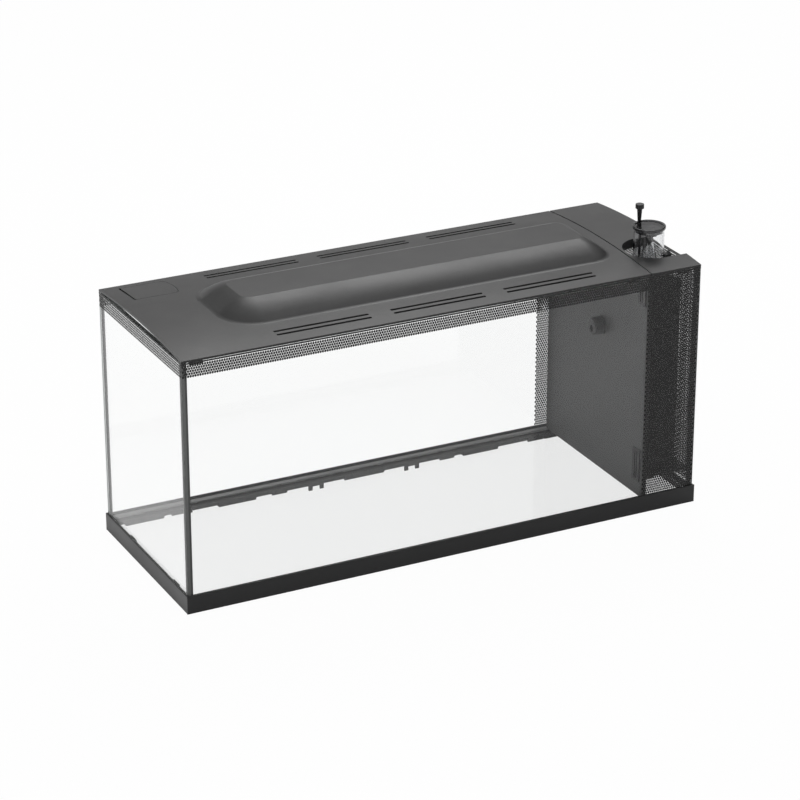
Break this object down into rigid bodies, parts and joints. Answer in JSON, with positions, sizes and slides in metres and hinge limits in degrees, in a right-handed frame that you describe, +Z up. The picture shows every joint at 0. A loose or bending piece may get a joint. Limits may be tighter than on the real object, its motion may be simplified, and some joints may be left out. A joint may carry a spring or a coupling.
{
  "type": "aquarium",
  "caption": "Rectangular glass aquarium with a black base frame, an arched cover with a lamp dome and feeding hatch, and a side filter compartment with a skimmer and a return pump.",
  "frame": {"origin": "middle of the footprint, on the surface that the aquarium stands on", "axes": "+X along the length towards the filter compartment, +Y from front to back, +Z up"},
  "size_m": [0.8, 0.297, 0.4315],
  "materials": {
    "base_plastic": "satin moulded black",
    "foam": "closed-cell foam",
    "pane_glass": "clear float glass",
    "silicone": "dark sealant",
    "print_ink": "printed dot screen, half covered",
    "panel_plastic": "dark grey sheet",
    "fitting_plastic": "moulded black",
    "pump_plastic": "moulded black, satin",
    "dial_plastic": "light grey",
    "rotor": "ferrite with moulded vanes",
    "shaft_ceramic": "ground white",
    "cup_rubber": "soft black",
    "box_plastic": "moulded black",
    "ring_ceramic": "porous, unglazed",
    "carbon": "mesh bag of carbon",
    "sponge": "open-cell foam",
    "clear_plastic": "clear acrylic",
    "skimmer_plastic": "moulded black",
    "stone": "sintered grains",
    "air_line": "flexible black tube",
    "stem_plastic": "moulded black",
    "knob_plastic": "fluted black",
    "smoke_plastic": "smoked, translucent",
    "heater_glass": "quartz",
    "heater_ceramic": "wound core",
    "heater_plastic": "moulded black",
    "cover_plastic": "satin moulded black",
    "steel": "stainless",
    "lamp_aluminium": "extruded, anodised",
    "board": "white circuit board",
    "emitter": "phosphor",
    "lens_plastic": "clear cover"
  },
  "bodies": {
    "tank": {"base_rail_front": "base_plastic", "base_rail_back": "base_plastic", "base_rail_left": "base_plastic", "base_rail_right": "base_plastic", "support_pads": "foam", "pane_floor": "pane_glass", "pane_front": "pane_glass", "pane_back": "pane_glass", "pane_left": "pane_glass", "pane_right": "pane_glass", "silicone_seams": "silicone", "print_front": "print_ink", "print_back": "print_ink", "print_left": "print_ink", "print_right": "print_ink", "partition": "panel_plastic", "baffle": "panel_plastic", "box_shelf": "panel_plastic", "overflow_comb": "fitting_plastic", "intake_comb": "fitting_plastic", "outlet_bulkhead": "fitting_plastic", "outlet_nut": "fitting_plastic", "riser_pipe": "fitting_plastic", "stem_block": "fitting_plastic", "skimmer_bracket": "fitting_plastic", "heater_clips": "fitting_plastic", "pump_housing": "pump_plastic", "pump_intake_cover": "pump_plastic", "impeller_shaft": "shaft_ceramic", "suction_cups": "cup_rubber", "skimmer_body": "clear_plastic", "skimmer_base": "skimmer_plastic", "air_stone": "stone", "air_tube": "air_line", "heater_tube": "heater_glass", "heater_core": "heater_ceramic", "heater_cap": "heater_plastic"},
    "main_cover": {"main_cover": "cover_plastic", "hatch_pin": "steel", "lamp_housing": "lamp_aluminium", "lamp_board": "board", "lamp_emitters": "emitter", "lamp_lens": "lens_plastic", "lamp_screws": "steel"},
    "feeding_hatch": {"feeding_hatch": "cover_plastic"},
    "filter_cover": {"filter_cover": "cover_plastic"},
    "filter_box": {"filter_box": "box_plastic", "ceramic_rings": "ring_ceramic", "carbon_pack": "carbon", "filter_sponge": "sponge"},
    "filter_box_handle": {"filter_box_handle": "box_plastic"},
    "skimmer_cup": {"skimmer_cup": "clear_plastic", "neck_cap": "skimmer_plastic"},
    "cup_lid": {"cup_lid": "smoke_plastic"},
    "air_knob": {"air_knob": "knob_plastic", "air_stem": "stem_plastic"},
    "outlet_nozzle": {"outlet_nozzle": "fitting_plastic"},
    "impeller": {"impeller": "rotor"},
    "flow_dial": {"flow_dial": "dial_plastic"},
    "heater_dial": {"heater_dial": "dial_plastic"}
  },
  "joints": [
    {"name": "main_cover_lift", "type": "slide", "parent": "tank", "child": "main_cover", "axis": [0, 0, 1], "range_m": [0, 0.15]},
    {"name": "hatch_hinge", "type": "hinge", "parent": "main_cover", "child": "feeding_hatch", "pos_m": [-0.3673, 0.103, 0.36648], "axis": [0, -0.9975, 0.0711], "range_deg": [0, 90]},
    {"name": "filter_cover_lift", "type": "slide", "parent": "tank", "child": "filter_cover", "axis": [0, 0, 1], "range_m": [0, 0.36]},
    {"name": "filter_box_lift", "type": "slide", "parent": "tank", "child": "filter_box", "axis": [0, 0, 1], "range_m": [0, 0.332]},
    {"name": "box_handle_hinge", "type": "hinge", "parent": "filter_box", "child": "filter_box_handle", "pos_m": [0.347, -0.1155, 0.334], "axis": [-1, 0, 0], "range_deg": [0, 100]},
    {"name": "skimmer_cup_lift", "type": "slide", "parent": "tank", "child": "skimmer_cup", "axis": [0, 0, 1], "range_m": [0, 0.009]},
    {"name": "cup_lid_lift", "type": "slide", "parent": "skimmer_cup", "child": "cup_lid", "axis": [0, 0, 1], "range_m": [0, 0.006]},
    {"name": "air_knob_turn", "type": "hinge", "parent": "tank", "child": "air_knob", "pos_m": [0.358, -0.0395, 0.428], "axis": [0, 0, 1], "range_deg": [0, 270]},
    {"name": "nozzle_turn", "type": "hinge", "parent": "tank", "child": "outlet_nozzle", "pos_m": [0.303, -0.015, 0.246], "axis": [1, 0, 0], "continuous": true},
    {"name": "impeller_spin", "type": "hinge", "parent": "tank", "child": "impeller", "pos_m": [0.356, 0, 0.053], "axis": [0, 1, 0], "continuous": true},
    {"name": "flow_dial_turn", "type": "hinge", "parent": "tank", "child": "flow_dial", "pos_m": [0.345, 0.02, 0.08], "axis": [0, 0, 1], "range_deg": [-135, 135]},
    {"name": "heater_dial_turn", "type": "hinge", "parent": "tank", "child": "heater_dial", "pos_m": [0.3715, 0.112, 0.254], "axis": [0, 0, 1], "range_deg": [-150, 150]}
  ],
  "couplings": [
    {"joint": "filter_box_lift", "follows": "filter_cover_lift", "ratio": 0.92}
  ]
}
